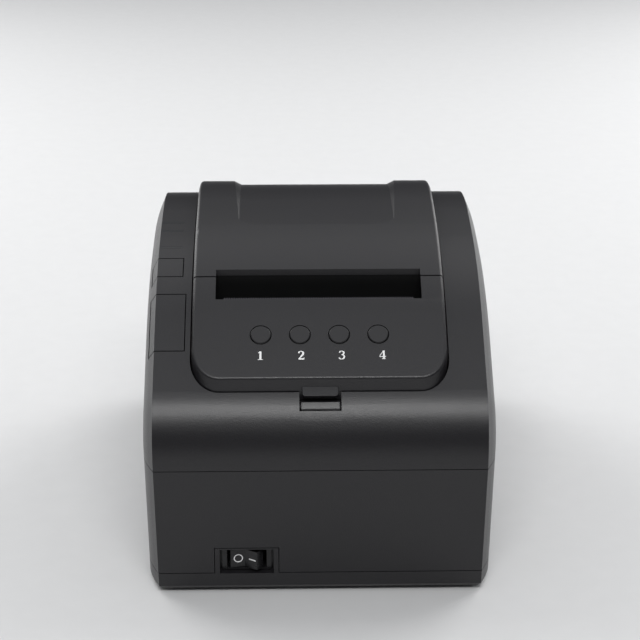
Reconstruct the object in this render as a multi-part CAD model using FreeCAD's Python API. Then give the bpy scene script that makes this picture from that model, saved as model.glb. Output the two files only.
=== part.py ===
import FreeCAD, Part
import math
import os

V = FreeCAD.Vector

# Countertop ticket printer for 80 mm thermal paper. Millimetres, +Z up, front at -Y.
# The origin is on the table under the middle of the printer.

# Overall case
body_w = 145.0
body_d = 195.0
side_x = body_w / 2
front_y = -body_d / 2
rear_y = body_d / 2
foot_h = 2.0
tray_top = 9.7
case_split = 57.0
wall = 2.5
seam = 0.3
side_draft = 0.8

# Front corner strip: it starts at a crisp edge on the front and blends into the side
strip_x = 4.9
strip_y = 11.5
strip_blend_r = 36.0

# Side profile of the top, walked from the front seam over the dome to the rear wall
front_rise = 2.0
knee_r = 34.0
panel_slope = 37.0
panel_run = 30.6
dome_r = 120.0
dome_end_slope = 12.0
crown_end_slope = 7.4
rear_slope = 45.0
rear_corner_r = 25.0

# The rear part of the outline takes what depth the knee, the panel and the dome leave
slope = math.radians(panel_slope)
dome_end = math.radians(dome_end_slope)
front_l = knee_r * (1 - math.sin(slope)) + panel_run * math.cos(slope)
front_l += dome_r * (math.sin(slope) - math.sin(dome_end))
back_l = body_d - front_l
crown_r = 2.733 * back_l
rear_r = 0.6925 * back_l

# Lid and button panel stand proud of the cover as one slab
slab_rise = 5.4
slab_half_w = 52.2
slab_skin = 2.4
slab_skirt = 9.5
slab_front_r = 11.5
slab_front_inset = 13.7
slab_edge_r = 1.5
slab_gap = 0.7
skirt_t = 2.2
rim_t = 2.1
rim_depth = 14.0
lid_split_y = front_y + 53.7
lid_split_gap = 0.6

# Ticket slot, on the slope behind the buttons
slot_half_w = 42.7
slot_front_y = front_y + 43.5
slot_rear_y = front_y + 57.1

# Hollow in the top of the lid between the two ears
scoop_half_w = slab_half_w - 18.7
scoop_corner_r = 16.0
scoop_start_y = front_y + front_l
scoop_tilt = 1.8
flank_w = 5.0
flank_rise = 2.6

# Lid hinge
hinge_y = rear_y - 5.5
hinge_lift = 2.4
barrel_r = 5.5
pin_r = 2.0
pin_clear = 0.08
barrel_out = slab_half_w - 0.7
knuckle_out = barrel_out - 9.5
knuckle_in = knuckle_out - 10.4
knuckle_gap = 0.5
pin_half_l = barrel_out - 0.5

# Paper bin
bin_half_w = 42.5
bin_wall = 2.2
bin_front_y = front_y + 80.3
bin_rear_y = hinge_y - 19.8
bin_low_z = 25.3
bin_r = (bin_rear_y - bin_front_y) / 2 - bin_wall
roll_y = (bin_rear_y + bin_front_y) / 2
roll_z = bin_low_z + bin_wall + bin_r
flange_t = 2.0
flange_gap = 0.4

# Function buttons, measured along the slope from the front lip of the panel
button_pitch = 16.0
button_s = 20.3
button_r = 4.15
button_gap = 0.35
button_proud = 0.4
button_travel = 1.0
flange_r = 5.3
flange_h = 1.0
stem_r = 2.0
stem_drop = 2.1
board_t = 1.6
switch_w = 6.0
switch_h = 2.4
button_board_w = 62.0
button_board_l = 15.0
board_post_r = 2.2

# Serrated strip under the slot's front edge
tear_t = 0.8
tear_drop = 0.45
tear_pitch = 1.0
tear_half_w = 39.5
tear_reach = 2.3
tooth_h = 0.9
tear_w = 8.0

# Finger tab under the panel and the shelf below it
tab_half_w = 7.3
tab_front = 3.6
tab_h = 4.4
shelf_drop = 4.2
shelf_t = 3.0
notch_half_w = 8.5
shelf_reach = 4.2
notch_drop = 9.5
notch_l = 12.0

# Buttons and lights on the left strip
strip_inner_x = slab_half_w + 3.2
strip_outer_x = side_x - 2.5
key_mid_x = (strip_inner_x + strip_outer_x) / 2
release_front_y = front_y + 28.5
release_rear_y = front_y + 50.5
release_travel = 1.5
release_stem = 14.0
feed_front_y = front_y + 60.0
feed_rear_y = front_y + 70.0
feed_inner_x = strip_inner_x + 1.6
feed_travel = 1.0
feed_stem = 6.5
key_gap = 0.4
key_depth = 14.0
lamp_ys = (front_y + 77.5, front_y + 90.0, front_y + 97.0)
lamp_w = 1.0
lamp_inner_x = strip_inner_x + 2.6
lamp_outer_x = side_x - 3.0
lamp_gap = 0.1

# Power switch in the front of the base
switch_x = -30.4
upstand_half_w = 13.1
upstand_top = 21.1
recess_half_w = 11.1
recess_low = 9.3
recess_high = 20.5
recess_depth = 4.3
bezel_half_w = 10.15
bezel_half_h = 5.3
bezel_t = 1.6
switch_body_half_w = 9.3
switch_body_half_h = 5.2
switch_body_l = 13.0
rocker_half_w = 7.5
rocker_ridge_x = 5.6
rocker_pivot_in = 4.2
rocker_half_h = 4.1
rocker_throw = 12.0
rocker_pin_r = 1.0
rocker_pin_l = 0.9

# Printing mechanism, placed along and under the panel slope
plate_x = 44.9
plate_t = 1.5
cutter_top_n = -12.0
cutter_low_n = -19.8
cutter_front_s = 5.0
cutter_rear_s = 37.5
blade_n = -15.0
blade_t = 1.0
blade_travel = 9.0
blade_opening = 6.8
blade_vee = 1.8
fixed_blade_n = blade_n - blade_t - 0.3
platen_s = 50.2
platen_n = -27.0
platen_r = 7.5
shaft_r = 3.0
bush_r = 4.6
arm_x1 = plate_x - 1.0
arm_x0 = arm_x1 - 2.7
platen_half_l = arm_x0 - 0.5
lip_t = 3.0
head_gap = 0.3
gear_module = 0.6
platen_teeth = 24
idler_teeth = 42
pinion_teeth = 12
gear_x0 = plate_x + plate_t + 0.6
gear_x1 = gear_x0 + 4.0
idler_angle = -115.0
pinion_angle = -150.0
motor_r = 12.0
motor_l = 20.0
frame_floor = 60.5
lock_pivot_back = 8.1
lock_pivot_drop = 28.2
shelf_z = 54.0
rack_module = 0.8
cutter_teeth = 14
cutter_s = 20.0
rack_s = 8.5
rack_teeth = 8
rack_t = 1.8

# Electronics
main_board_z = 12.0
port_gap = 0.4
screw_x = side_x - 10.5
screw_y = rear_y - 37.5
foot_x = side_x - 20.5
foot_y = rear_y - 19.5
foot_r = 7.0

# Plate behind the housing's rear edge that holds the sockets
port_plate_half_w = 50.0
port_plate_top = 30.0
port_plate_t = 1.5
port_plate_inset = 0.6


def box(x0, x1, y0, y1, z0, z1):
    return Part.makeBox(x1 - x0, y1 - y0, z1 - z0, V(x0, y0, z0))


def rod_x(x0, x1, y, z, r):
    return Part.makeCylinder(r, x1 - x0, V(x0, y, z), V(1, 0, 0))


def rod_z(x, y, z0, z1, r):
    return Part.makeCylinder(r, z1 - z0, V(x, y, z0), V(0, 0, 1))


def fuse(shapes):
    whole = shapes[0]
    for shape in shapes[1:]:
        whole = whole.fuse(shape)
    return whole.removeSplitter()


def mirrored(shape):
    return shape.mirror(V(0, 0, 0), V(1, 0, 0))


def plate_yz(points, x0, x1):
    # A flat plate across X, with its outline given as (y, z) corners
    corners = [V(x0, y, z) for y, z in points]
    face = Part.Face(Part.makePolygon(corners + corners[:1]))
    return face.extrude(V(x1 - x0, 0, 0))


def walk(start, heading, steps):
    # Edges of a smooth path in the YZ plane: straight runs and right-hand arcs
    edges = []
    y, z = start
    angle = math.radians(heading)
    for kind, size, turn in steps:
        if kind == "line":
            end = (y + size * math.cos(angle), z + size * math.sin(angle))
            edges.append(Part.LineSegment(V(0, y, z), V(0, end[0], end[1])).toShape())
        else:
            centre_y = y + size * math.sin(angle)
            centre_z = z - size * math.cos(angle)
            half = math.radians(turn) / 2
            points = []
            for a in (angle, angle - half, angle - 2 * half):
                points.append(V(0, centre_y - size * math.sin(a), centre_z + size * math.cos(a)))
            edges.append(Part.Arc(*points).toShape())
            angle -= 2 * half
            end = (points[2].y, points[2].z)
        y, z = end
    return edges, (y, z)


def top_steps(inset, rear_run):
    return [
        ("line", front_rise, 0),
        ("arc", knee_r - inset, 90 - panel_slope),
        ("line", panel_run, 0),
        ("arc", dome_r - inset, panel_slope - dome_end_slope),
        ("arc", crown_r - inset, dome_end_slope - crown_end_slope),
        ("arc", rear_r - inset, crown_end_slope + rear_slope),
        ("line", rear_run, 0),
        ("arc", rear_corner_r - inset, 90 - rear_slope),
    ]


def rear_run(inset):
    # Length of the rear slope that brings the outline to the full depth
    short = walk((front_y + inset, case_split), 90, top_steps(inset, 1.0))[1]
    return 1.0 + (rear_y - inset - short[0]) / math.cos(math.radians(rear_slope))


def profile_wire(inset, rise):
    # Closed side outline of the case above the seam, moved in by inset and up by rise
    front = front_y + inset
    rear = rear_y - inset
    start = (front, case_split + rise)
    edges, end = walk(start, 90, top_steps(inset, rear_run(inset)))
    if rise > 0:
        edges.insert(0, Part.LineSegment(V(0, front, case_split), V(0, front, start[1])).toShape())
    edges.append(Part.LineSegment(V(0, end[0], end[1]), V(0, rear, case_split)).toShape())
    edges.append(Part.LineSegment(V(0, rear, case_split), V(0, front, case_split)).toShape())
    return Part.Wire(edges)


def profile_solid(inset, rise, half_w):
    face = Part.Face(profile_wire(inset, rise))
    face.translate(V(-half_w, 0, 0))
    return face.extrude(V(2 * half_w, 0, 0))


def side_edges(shape, half_w):
    # The edges of the side outline that lie in the planes x = +-half_w
    found = []
    for edge in shape.Edges:
        size = edge.BoundBox
        if size.XLength < 1e-6 and abs(abs(size.XMin) - half_w) < 1e-6 and size.ZMax > case_split + 0.01:
            found.append(edge)
    return found


def top_block(inset):
    # Solid top half of the case with the corner strips swept along its side outline
    half_w = body_w / 2 - inset
    block = profile_solid(inset, 0, half_w)
    block = block.makeChamfer(strip_x, strip_y, side_edges(block, half_w))
    return block.makeFillet(strip_blend_r, side_edges(block, half_w))


def plan_wire(z, inset):
    # Closed plan outline of the lower case at height z, narrower towards the table
    drop = (case_split - z) / (case_split - foot_h)
    half_w = body_w / 2 - side_draft * drop - inset
    half_d = body_d / 2 - inset
    turn = math.atan2(strip_x, strip_y)
    tangent = strip_blend_r * math.tan(turn / 2)
    c, s = math.cos(turn), math.sin(turn)
    bow = strip_blend_r * (1 - math.cos(turn / 2))
    loop = []
    for sx, sy in ((1, -1), (1, 1), (-1, 1), (-1, -1)):
        corner = (half_w, half_d - strip_y)
        front = (half_w - strip_x, half_d)
        low = (corner[0] - tangent * s, corner[1] + tangent * c)
        high = (half_w, corner[1] - tangent)
        mid = (half_w - bow, high[1] + strip_blend_r * math.sin(turn / 2))
        points = [V(sx * p[0], sy * p[1], z) for p in (front, low, mid, high)]
        if sx * sy > 0:
            points.reverse()
        loop.append(points)
    edges = []
    for i, points in enumerate(loop):
        after = loop[(i + 1) % len(loop)]
        first_is_front = i % 2 == 0
        if first_is_front:
            edges.append(Part.LineSegment(points[0], points[1]).toShape())
            edges.append(Part.Arc(points[1], points[2], points[3]).toShape())
        else:
            edges.append(Part.Arc(points[0], points[1], points[2]).toShape())
            edges.append(Part.LineSegment(points[2], points[3]).toShape())
        edges.append(Part.LineSegment(points[3], after[0]).toShape())
    return Part.Wire(edges)


def lower_block(z0, z1, inset0, inset1):
    return Part.makeLoft([plan_wire(z0, inset0), plan_wire(z1, inset1)], True, True)


def ring(z0, z1, outer, inner):
    return lower_block(z0, z1, outer, outer).cut(lower_block(z0, z1, inner, inner))


# Local frame of the button panel: s runs up the slope from its front lip, n stands out of it
lip_y = front_y + knee_r * (1 - math.sin(slope))
lip_z = case_split + front_rise + knee_r * math.cos(slope) + slab_rise


def on_slope(s, n):
    y = lip_y + s * math.cos(slope) - n * math.sin(slope)
    z = lip_z + s * math.sin(slope) + n * math.cos(slope)
    return y, z


def slope_s(y, n):
    # Place along the slope of a point at depth y and height n
    return (y - lip_y + n * math.sin(slope)) / math.cos(slope)


fixed_edge_s = slope_s(slot_rear_y - 0.1, fixed_blade_n)
blade_edge_s = fixed_edge_s - blade_opening


def slope_box(x0, x1, s0, s1, n0, n1):
    corners = [on_slope(s0, n0), on_slope(s1, n0), on_slope(s1, n1), on_slope(s0, n1)]
    return plate_yz(corners, x0, x1)


def slope_rod(x, s, n0, n1, r):
    y, z = on_slope(s, n0)
    return Part.makeCylinder(r, n1 - n0, V(x, y, z), V(0, -math.sin(slope), math.cos(slope)))


def tongue(half_w, front, rear, corner_r, z0, z1):
    # Upright prism with two round front corners, as seen from above
    pad = box(-half_w, half_w, front, rear, z0, z1)
    corners = []
    for edge in pad.Edges:
        size = edge.BoundBox
        if size.ZLength > 1 and abs(size.YMin - front) < 1e-6 and size.YLength < 1e-6:
            corners.append(edge)
    return pad.makeFillet(corner_r, corners)


def hinge_ring(x0, x1, r):
    return rod_x(x0, x1, hinge_y, hinge_z, r)


top_z = 160.0
slab_front_y = front_y + slab_front_inset
hinge_z = walk((front_y, case_split), 90, top_steps(0, rear_run(0)))[1][1] + hinge_lift


def make_slab():
    # Lid and button panel in one piece, with a round edge along the top
    prism = tongue(slab_half_w, slab_front_y, rear_y + 1, slab_front_r, case_split - 1, top_z)
    slab = profile_solid(0, slab_rise, body_w / 2).common(prism)
    edges = []
    for edge in slab.Edges:
        size = edge.BoundBox
        mid = edge.valueAt((edge.FirstParameter + edge.LastParameter) / 2)
        on_side = size.XLength < 1e-4 and abs(abs(size.XMin) - slab_half_w) < 1e-4
        on_front = mid.y < slab_front_y + slab_front_r + 1 and size.ZMin > lip_z - 3
        tall = size.XLength < 1e-4 and size.YLength < 1e-4
        low = size.ZMax < case_split + 0.1
        if (on_side or on_front) and not tall and not low:
            edges.append(edge)
    rounded = slab.makeFillet(slab_edge_r, edges)
    return rounded


def slab_inner(skin, half_w):
    return profile_solid(skin, slab_rise, half_w)


def scoop_floor(skin):
    # The slab's own top surface, tipped down towards the rear, with a rising flank at each side
    floor = profile_solid(skin, slab_rise, scoop_half_w)
    for sign in (1, -1):
        flank = Part.Face(profile_wire(skin, slab_rise))
        flank.translate(V(sign * scoop_half_w, 0, 0))
        floor = floor.fuse(flank.extrude(V(sign * flank_w, 0, flank_rise)))
    floor.rotate(V(0, scoop_start_y, surface_z(scoop_start_y) + slab_rise), V(1, 0, 0), -scoop_tilt)
    return floor


def surface_z(y):
    # Height of the cover's middle at depth y
    line = Part.LineSegment(V(0, y, case_split + 1), V(0, y, top_z)).toShape()
    face = Part.Face(profile_wire(0, 0))
    return line.common(face).BoundBox.ZMax


def surface_slope(y):
    step = 0.5
    return math.atan2(surface_z(y + step) - surface_z(y - step), 2 * step)


def make_button_panel(slab):
    panel = slab.common(box(-60, 60, slab_front_y - 1, lid_split_y - lid_split_gap / 2, case_split, top_z))
    inside = tongue(slab_half_w - skirt_t, slab_front_y + skirt_t, 0, slab_front_r - skirt_t, case_split - 1, top_z)
    panel = panel.cut(slab_inner(slab_skin, slab_half_w).common(inside))
    panel = panel.cut(profile_solid(slab_skirt, slab_rise, body_w / 2))
    panel = panel.cut(box(-slot_half_w, slot_half_w, slot_front_y, 0, case_split, top_z))
    for x in button_xs():
        panel = panel.cut(slope_rod(x, button_s, -6, 3, button_r + button_gap))
    posts = [panel]
    for x in (-button_pitch, button_pitch):
        posts.append(slope_rod(x, button_s, board_top_n(), -slab_skin + 0.2, board_post_r))
    tab_y = slab_front_y
    low = lip_z - slab_rise + 0.6
    tab = box(-tab_half_w, tab_half_w, tab_y - tab_front, tab_y + 1, low, low + tab_h)
    posts.append(tab.makeFillet(1.2, [e for e in tab.Edges if e.BoundBox.YMax < tab_y - tab_front + 0.01]))
    return fuse(posts)


def button_xs():
    return [button_pitch * (i - 1.5) for i in range(4)]


def board_top_n():
    return -slab_skin - flange_h - stem_drop - button_travel - switch_h - 0.2


def make_button(x):
    cap = slope_rod(x, button_s, -slab_skin - 0.1, button_proud, button_r)
    rim = [e for e in cap.Edges if abs(e.BoundBox.ZMax - cap.BoundBox.ZMax) < 1e-3]
    cap = cap.makeChamfer(0.35, rim)
    flange = slope_rod(x, button_s, -slab_skin - 0.1 - flange_h, -slab_skin - 0.1, flange_r)
    stem = slope_rod(x, button_s, -slab_skin - 0.1 - flange_h - stem_drop, -slab_skin - 0.5, stem_r)
    return fuse([cap, flange, stem])


def make_button_board():
    top = board_top_n()
    half = button_board_l / 2
    parts = [slope_box(-button_board_w / 2, button_board_w / 2, button_s - half, button_s + half, top - board_t, top)]
    for x in button_xs():
        w = switch_w / 2
        parts.append(slope_box(x - w, x + w, button_s - w, button_s + w, top, top + switch_h))
    return fuse(parts)


def make_tear_bar():
    # Thin strip under the slot's front edge, with a row of cutting teeth
    pitch = tear_pitch
    half = tear_half_w
    s_root = (slot_front_y - lip_y) / math.cos(slope) + tear_reach - tooth_h
    count = int(2 * half / pitch)
    points = [(-half, s_root - tear_w), (half, s_root - tear_w)]
    for i in range(count):
        x = half - i * pitch
        points.append((x, s_root))
        points.append((x - pitch / 2, s_root + tooth_h))
    points.append((half - count * pitch, s_root))
    n0 = -slab_skin - tear_drop - tear_t
    corners = [V(x, *on_slope(s, n0)) for x, s in points]
    face = Part.Face(Part.makePolygon(corners + corners[:1]))
    return face.extrude(V(0, -math.sin(slope), math.cos(slope)).multiply(tear_t))


def make_lid_shell(slab):
    lid = slab.common(box(-60, 60, lid_split_y + lid_split_gap / 2, rear_y + 1, hinge_z, top_z))
    half = slab_half_w - skirt_t
    scoop_zone = tongue(scoop_half_w + flank_w, scoop_start_y, rear_y + 1, scoop_corner_r, hinge_z + barrel_r + 2, top_z)
    above = scoop_zone.cut(scoop_floor(0))
    lid = lid.cut(above)
    hollow = slab_inner(slab_skin, half).cut(box(-60, 60, rear_y - 30, rear_y, case_split, hinge_z))
    under_half = scoop_half_w + flank_w
    under = box(-under_half, under_half, scoop_start_y - 3, rear_y, case_split, top_z)
    hollow = hollow.cut(under.cut(scoop_floor(slab_skin)))
    lid = lid.cut(hollow)
    lid = lid.cut(profile_solid(slab_skirt, slab_rise, body_w / 2))
    lid = lid.cut(box(-slot_half_w, slot_half_w, lid_split_y - 5, slot_rear_y, case_split, top_z))
    barrels = [lid, hinge_ring(-knuckle_in + knuckle_gap, knuckle_in - knuckle_gap, barrel_r)]
    barrels.append(hinge_ring(knuckle_out + knuckle_gap, barrel_out, barrel_r))
    barrels.append(hinge_ring(-barrel_out, -knuckle_out - knuckle_gap, barrel_r))
    lid = fuse(barrels)
    for sign in (1, -1):
        x0, x1 = sorted((sign * (knuckle_in - knuckle_gap), sign * (knuckle_out + knuckle_gap)))
        lid = lid.cut(hinge_ring(x0, x1, barrel_r + 0.9))
    return lid.cut(hinge_ring(-60, 60, pin_r + pin_clear))


def platen_centre():
    return on_slope(platen_s, platen_n)


def make_platen_bracket():
    # Inner frame of the lid: a curved plate, the slot's rear wall and two arms for the roller
    y, z = platen_centre()
    half = slab_half_w - 2.7
    plate = slab_inner(slab_skin + 0.1, half).cut(slab_inner(slab_skin + 1.9, half + 1))
    plate = plate.common(box(-half, half, slot_rear_y + 0.4, scoop_start_y - 4, 100, top_z))
    top = slab_inner(slab_skin + 0.1, half)
    parts = [plate]
    lip = box(-arm_x1, arm_x1, slot_rear_y + 0.4, slot_rear_y + 0.4 + lip_t, z, top_z)
    lip = lip.cut(slope_box(-60, 60, 20, 70, -60, fixed_blade_n + 0.1))
    stroke_end = blade_edge_s + blade_travel + 0.4
    lip = lip.cut(slope_box(-60, 60, 20, stroke_end, -60, blade_n + 0.3))
    parts.append(lip.common(top))
    for x0, x1 in ((arm_x0, arm_x1), (-arm_x1, -arm_x0)):
        arm = box(x0, x1, y - 6, y + 6, z, top_z).common(top)
        parts.append(fuse([arm, rod_x(x0, x1, y, z, 6)]))
    bracket = fuse(parts)
    return bracket.cut(rod_x(-60, 60, y, z, bush_r))


def make_bushes():
    y, z = platen_centre()
    right = rod_x(arm_x0, plate_x + plate_t + 0.4, y, z, bush_r)
    right = right.cut(rod_x(0, 60, y, z, shaft_r + 0.05))
    return Part.makeCompound([right, mirrored(right)])


def make_platen_roller():
    y, z = platen_centre()
    roller = rod_x(-platen_half_l, platen_half_l, y, z, platen_r)
    return roller.cut(rod_x(-60, 60, y, z, shaft_r))


def make_platen_shaft():
    y, z = platen_centre()
    return rod_x(-plate_x - plate_t - 1.5, gear_x1 + 0.3, y, z, shaft_r)


def gear_x(teeth, y, z, x0, x1, bore, turn=0.0, module=gear_module):
    # Spur gear across X with straight-sided teeth
    pitch_r = teeth * module / 2
    tip_r = pitch_r + 0.85 * module
    root_r = pitch_r - 1.15 * module
    step = 2 * math.pi / teeth
    points = []
    for i in range(teeth):
        a = i * step + turn
        for r, shift in ((root_r, -0.33), (tip_r, -0.13), (tip_r, 0.13), (root_r, 0.33)):
            points.append((y + r * math.cos(a + shift * step), z + r * math.sin(a + shift * step)))
    gear = plate_yz(points, x0, x1)
    return gear.cut(rod_x(x0 - 1, x1 + 1, y, z, bore))


def idler_centre():
    y, z = platen_centre()
    reach = gear_module * (platen_teeth + idler_teeth) / 2
    a = math.radians(idler_angle)
    return y + reach * math.cos(a), z + reach * math.sin(a)


def pinion_centre():
    y, z = idler_centre()
    reach = gear_module * (idler_teeth + pinion_teeth) / 2
    a = math.radians(pinion_angle)
    return y + reach * math.cos(a), z + reach * math.sin(a)


def mesh_turn(angle, teeth):
    # Turn that puts a tooth space at the given direction
    step = 360.0 / teeth
    return math.radians(angle + step / 2)


def make_platen_gear():
    y, z = platen_centre()
    return gear_x(platen_teeth, y, z, gear_x0, gear_x1, shaft_r + 0.02, math.radians(idler_angle))


def make_idler_gear():
    y, z = idler_centre()
    turn = mesh_turn(idler_angle + 180, idler_teeth)
    return gear_x(idler_teeth, y, z, gear_x0, gear_x1, 2.05, turn)


def pinion_turn():
    # The idler's tooth phase at the pinion decides how the pinion is turned
    step = 360.0 / idler_teeth
    phase = (pinion_angle - (idler_angle + 180 + step / 2)) / step
    offset = (phase - round(phase)) * step
    own = offset * idler_teeth / pinion_teeth
    return math.radians(pinion_angle + 180 + own + 360.0 / pinion_teeth / 2)


def make_motor_pinion():
    y, z = pinion_centre()
    return gear_x(pinion_teeth, y, z, gear_x0, gear_x1, 1.25, pinion_turn())


def make_stepper_motor():
    y, z = pinion_centre()
    can = rod_x(plate_x - 0.1 - motor_l, plate_x - 0.1, y, z, motor_r)
    boss = rod_x(plate_x - 0.1, plate_x + plate_t + 0.4, y, z, 4)
    return fuse([can, boss]).cut(rod_x(plate_x - 5, 60, y, z, 1.3))


def make_motor_shaft():
    y, z = pinion_centre()
    return rod_x(plate_x - 4.9, gear_x1, y, z, 1.25)


def make_mechanism_frame():
    # Bent steel frame: a floor, two side plates and a cross bar behind the print head
    py, pz = platen_centre()
    front = on_slope(-5, cutter_low_n - 0.2)
    rear = on_slope(40, cutter_low_n - 0.2)
    y1 = py + 8
    y2 = py + 11.5
    outline = [(front[0], frame_floor), front, rear, (py - 11, pz + 6.5), (y2, pz + 6.5), (y2, frame_floor)]
    side = plate_yz(outline, plate_x, plate_x + plate_t)
    notch = [(py - 5, pz), (py + 5, pz), (py + 7.5, pz + 20), (py - 5, pz + 20)]
    side = side.cut(plate_yz(notch, plate_x - 1, plate_x + plate_t + 1))
    side = side.cut(rod_x(plate_x - 1, plate_x + plate_t + 1, py, pz, 5))
    iy, iz = idler_centre()
    floor = box(-plate_x - plate_t, plate_x + plate_t, front[0], y1, frame_floor, frame_floor + plate_t)
    bar = slope_box(-plate_x, plate_x, 30, 31.5, -34, cutter_low_n - 0.2)
    frame = fuse([side, mirrored(side), floor, bar])
    my, mz = pinion_centre()
    frame = frame.cut(rod_x(plate_x - 1, plate_x + plate_t + 1, my, mz, 4.1))
    frame = frame.cut(box(-30, 30, front[0] + 10, y1 - 10, frame_floor - 1, frame_floor + plate_t + 1))
    axle = rod_x(plate_x + plate_t - 0.5, gear_x1 + 0.3, iy, iz, 2)
    return fuse([frame, axle])


def head_s():
    return platen_s - platen_r - head_gap


def make_print_head():
    s = head_s()
    return slope_box(-43.5, 43.5, s - 1.2, s, -33, -21)


def make_heat_sink():
    # Aluminium block behind the head with a row of grooves
    s = head_s() - 1.2
    block = slope_box(-43.5, 43.5, s - 5, s, -33, -21)
    cuts = []
    for i in range(9):
        x = -40 + 10 * i
        cuts.append(slope_box(x - 2, x + 2, s - 5.1, s - 2, -34, -20))
    return block.cut(Part.makeCompound(cuts))


def make_head_springs():
    # Two leaf springs that press the head on the roller
    s0 = 31.5
    s1 = head_s() - 6.2
    leaves = []
    for x in (-25, 25):
        mid = slope_box(x - 6, x + 6, s0, s0 + 0.6, -30, -24)
        arm = slope_box(x - 6, x - 5, s0, s1, -28, -26)
        other = slope_box(x + 5, x + 6, s0, s1, -28, -26)
        leaves.append(fuse([mid, arm, other]))
    return Part.makeCompound(leaves)


def make_cutter_frame():
    n0, n1 = cutter_low_n, cutter_top_n
    outer = slope_box(-plate_x - plate_t, plate_x + plate_t, cutter_front_s, cutter_rear_s, n0, n1)
    inner = slope_box(-plate_x + 0.5, plate_x - 0.5, cutter_front_s + 2, cutter_rear_s + 1, n0 + 1.5, n1 - 1.5)
    frame = outer.cut(inner)
    return frame.cut(slope_rod(cutter_x(), cutter_s, n0 - 1, n0 + 2, 2.2))


def cutter_x():
    return -25.0


def cutter_pitch_r():
    return rack_module * cutter_teeth / 2


def make_cutter_blade():
    # Sliding blade with a shallow V edge, and a toothed rack fixed below it
    n0 = blade_n - blade_t
    points = [(-40, 15), (40, 15), (40, blade_edge_s), (0, blade_edge_s - blade_vee), (-40, blade_edge_s)]
    corners = [V(x, *on_slope(s, n0)) for x, s in points]
    face = Part.Face(Part.makePolygon(corners + corners[:1]))
    up = V(0, -math.sin(slope), math.cos(slope))
    blade = face.extrude(V(up).multiply(blade_t))
    pitch = math.pi * rack_module
    line = cutter_x() + cutter_pitch_r()
    root = line + 1.15 * rack_module
    tip = line - 0.85 * rack_module
    rack = [(root + 3, rack_s), (root + 3, rack_s + rack_teeth * pitch)]
    for i in reversed(range(rack_teeth)):
        mid = rack_s + (i + 0.5) * pitch
        for x, shift in ((root, 0.33), (tip, 0.13), (tip, -0.13), (root, -0.33)):
            rack.append((x, mid + shift * pitch))
    rack.append((root, rack_s))
    n_rack = n0 - rack_t
    corners = [V(x, *on_slope(s, n_rack)) for x, s in rack]
    face = Part.Face(Part.makePolygon(corners + corners[:1]))
    return fuse([blade, face.extrude(V(up).multiply(rack_t))])


def make_cutter_gear():
    # Pinion that drives the rack, on an upright spindle
    n0 = blade_n - blade_t - rack_t
    pitch = math.pi * rack_module
    phase = (cutter_s - rack_s) / pitch - 0.5
    offset = (phase - round(phase)) * pitch
    turn = math.pi / cutter_teeth + offset / cutter_pitch_r()
    points = []
    step = 2 * math.pi / cutter_teeth
    for i in range(cutter_teeth):
        a = i * step - turn
        tip = cutter_pitch_r() + 0.85 * rack_module
        root = cutter_pitch_r() - 1.15 * rack_module
        for r, shift in ((root, -0.33), (tip, -0.13), (tip, 0.13), (root, 0.33)):
            b = a + shift * step
            points.append((cutter_x() + r * math.cos(b), cutter_s + r * math.sin(b)))
    corners = [V(x, *on_slope(s, n0)) for x, s in points]
    face = Part.Face(Part.makePolygon(corners + corners[:1]))
    disc = face.extrude(V(0, -math.sin(slope), math.cos(slope)).multiply(1.6))
    return fuse([disc, slope_rod(cutter_x(), cutter_s, cutter_low_n - 4, n0 + 1.6, 1.5)])


def make_cutter_motor():
    can = slope_rod(cutter_x(), cutter_s, cutter_low_n - 20, cutter_low_n - 0.1, 9)
    return can.cut(slope_rod(cutter_x(), cutter_s, cutter_low_n - 4.1, cutter_low_n, 1.55))


def make_fixed_blade():
    s = fixed_edge_s
    return slope_box(-40.5, 40.5, s, s + 5, fixed_blade_n - 1.1, fixed_blade_n)


def make_upper_cover(outer, inner):
    cover = outer.cut(inner)
    opening = tongue(slab_half_w + slab_gap, slab_front_y - slab_gap, rear_y + 1, slab_front_r + slab_gap,
                     hinge_z - barrel_r - 0.8, top_z)
    cover = cover.cut(opening)
    x0 = slab_half_w + slab_gap
    rim = profile_solid(1, 0, x0 + rim_t).cut(profile_solid(rim_depth, 0, body_w))
    rim = rim.cut(box(-x0, x0, -body_d, body_d, 0, top_z)).common(box(-80, 80, slab_front_y + 12, rear_y - 1, case_split + 3.5, top_z))
    cover = fuse([cover, rim])
    webs = []
    for sign in (1, -1):
        x2, x3 = sorted((sign * knuckle_in, sign * knuckle_out))
        knuckle = hinge_ring(x2, x3, barrel_r)
        low = box(x2, x3, hinge_y - 4.5, rear_y - wall + 0.2, case_split + 3, hinge_z - 9)
        high = box(x2, x3, hinge_y - 4.5, hinge_y + 0.5, hinge_z - 9.5, hinge_z)
        webs.append(fuse([knuckle, low, high]))
    cover = fuse([cover] + webs)
    cover = cover.cut(hinge_ring(-60, 60, pin_r + 0.01))
    y0 = slab_front_y - slab_gap
    edge_z = lip_z - slab_rise
    notch = box(-notch_half_w, notch_half_w, y0 - notch_l, y0 + 5, edge_z - notch_drop, lip_z)
    cover = cover.cut(notch)
    floor = box(-notch_half_w - 1, notch_half_w + 1, -body_d / 2 + 2, y0, edge_z - notch_drop - 1.2, edge_z - notch_drop + 0.3)
    step = box(-notch_half_w - 0.2, notch_half_w + 0.2, y0 - shelf_reach, y0, edge_z - notch_drop, edge_z - shelf_drop)
    cover = fuse([cover, floor.common(outer), step])
    for name, travel in (("release", release_travel), ("feed", feed_travel)):
        cover = cover.cut(key_zone(name, key_gap, travel + key_gap))
    for y in lamp_ys:
        cover = cover.cut(lamp_zone(y, lamp_gap))
    return cover


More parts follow.
